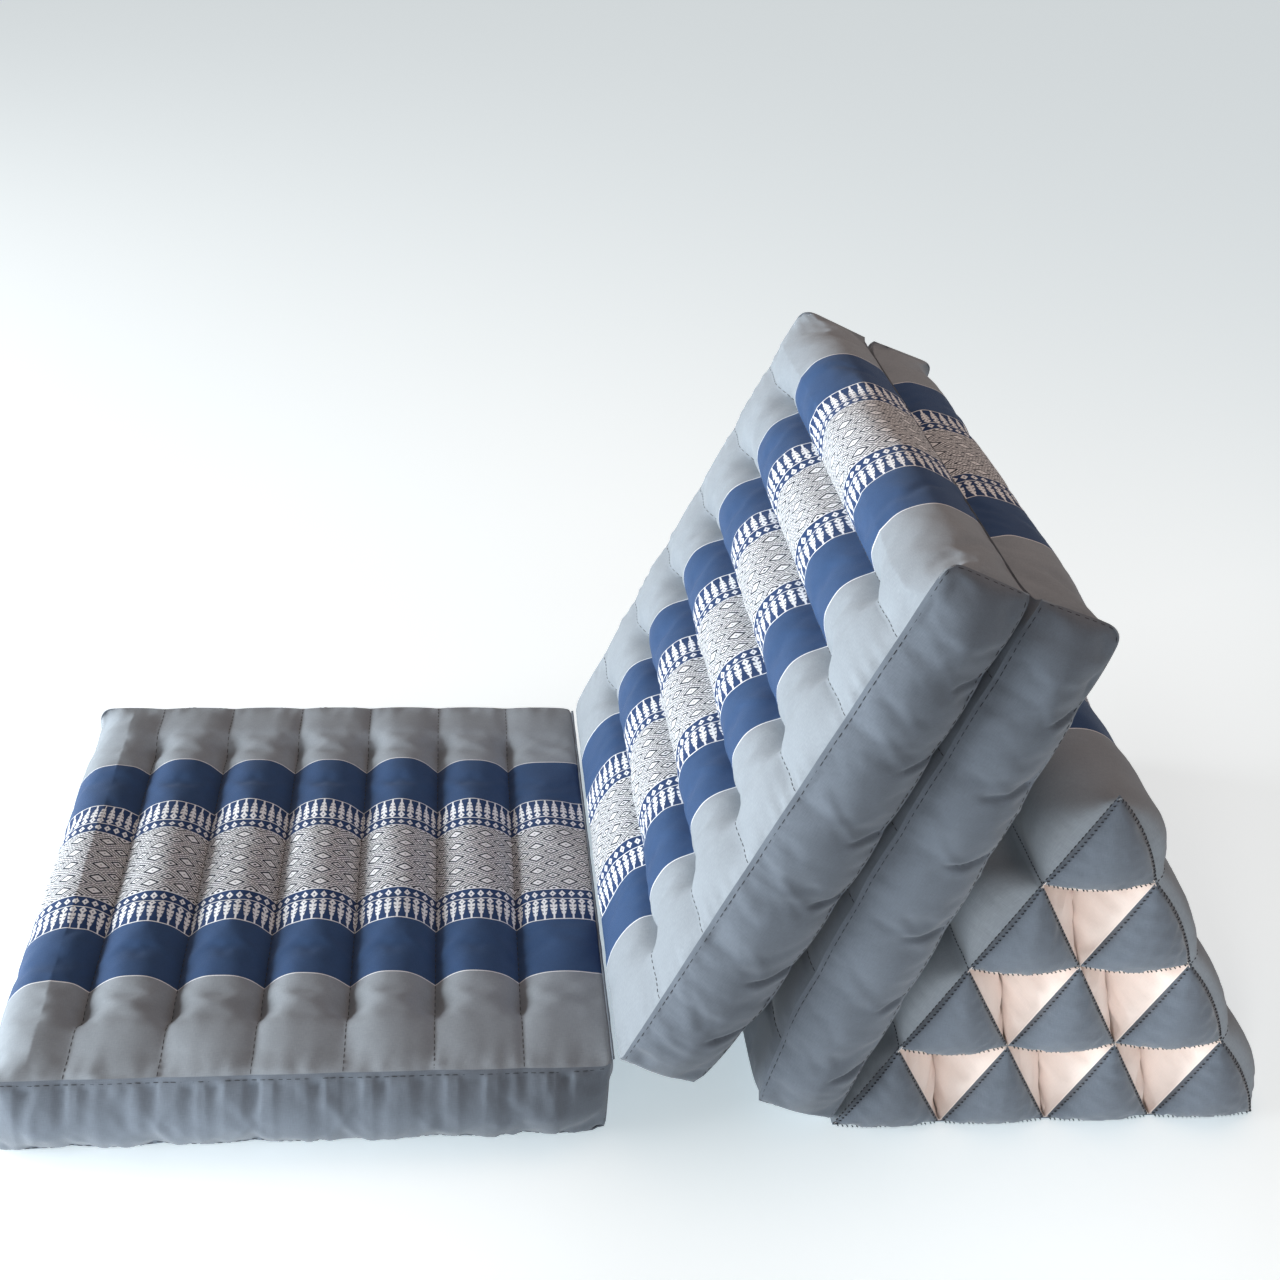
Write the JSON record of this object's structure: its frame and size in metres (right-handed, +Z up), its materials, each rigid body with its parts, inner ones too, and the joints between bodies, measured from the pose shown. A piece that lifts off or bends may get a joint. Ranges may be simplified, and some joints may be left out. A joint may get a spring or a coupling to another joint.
{
  "type": "futon mattress",
  "caption": "Fold-out triangle cushion: three channelled mattress panels hinged in a row to a triangular back-rest wedge, shown half folded as a floor seat.",
  "frame": {"origin": "on the floor, below the middle of the whole object's box", "axes": "+X along the mattress, from the seat panel towards the wedge; +Y along the hinges, away from the viewer; +Z up"},
  "size_m": [1.0244, 0.53, 0.5137],
  "materials": {
    "patterned_cloth": "woven cotton with a banded pattern, grey, blue and cream",
    "plain_cloth": "plain-weave grey-blue cotton",
    "cell_lining": "smooth pale pinkish cream cotton",
    "calico": "unbleached calico",
    "kapok": "loose kapok fibre",
    "seam_cloth": "dark folded seam cloth"
  },
  "bodies": {
    "seat": {"seat_patterned_cover": "patterned_cloth", "seat_plain_cover": "plain_cloth", "seat_near_gusset": "plain_cloth", "seat_far_gusset": "plain_cloth", "seat_partitions": "calico", "seat_fill_1": "kapok", "seat_fill_2": "kapok", "seat_fill_3": "kapok", "seat_fill_4": "kapok", "seat_fill_5": "kapok", "seat_fill_6": "kapok", "seat_fill_7": "kapok", "seat_hinge_seam": "seam_cloth"},
    "back": {"back_patterned_cover": "patterned_cloth", "back_plain_cover": "plain_cloth", "back_near_gusset": "plain_cloth", "back_far_gusset": "plain_cloth", "back_partitions": "calico", "back_fill_1": "kapok", "back_fill_2": "kapok", "back_fill_3": "kapok", "back_fill_4": "kapok", "back_fill_5": "kapok", "back_fill_6": "kapok", "back_fill_7": "kapok", "top_hinge_seam": "seam_cloth"},
    "prop": {"prop_patterned_cover": "patterned_cloth", "prop_plain_cover": "plain_cloth", "prop_near_gusset": "plain_cloth", "prop_far_gusset": "plain_cloth", "prop_partitions": "calico", "prop_fill_1": "kapok", "prop_fill_2": "kapok", "prop_fill_3": "kapok", "prop_fill_4": "kapok", "prop_fill_5": "kapok", "prop_fill_6": "kapok", "prop_fill_7": "kapok", "wedge_hinge_seam": "seam_cloth"},
    "wedge": {"wedge_patterned_cover": "patterned_cloth", "wedge_base_cover": "plain_cloth", "wedge_cell_linings": "cell_lining", "wedge_near_caps": "plain_cloth", "wedge_far_caps": "plain_cloth", "wedge_fill_1": "kapok", "wedge_fill_2": "kapok", "wedge_fill_3": "kapok", "wedge_fill_4": "kapok", "wedge_fill_5": "kapok", "wedge_fill_6": "kapok", "wedge_fill_7": "kapok", "wedge_fill_8": "kapok", "wedge_fill_9": "kapok", "wedge_fill_10": "kapok"}
  },
  "joints": [
    {"name": "seat_to_back", "type": "hinge", "parent": "seat", "child": "back", "pos_m": [-0.0277, 0, 0.074], "axis": [0, 1, 0], "range_deg": [-109, 65.51]},
    {"name": "back_to_prop", "type": "hinge", "parent": "back", "child": "prop", "pos_m": [0.24072, 0, 0.48467], "axis": [0, -1, 0], "range_deg": [0, 174.51]},
    {"name": "prop_to_wedge", "type": "hinge", "parent": "prop", "child": "wedge", "pos_m": [0.15279, 0, 0.002], "axis": [0, 1, 0], "range_deg": [0, 120]}
  ]
}
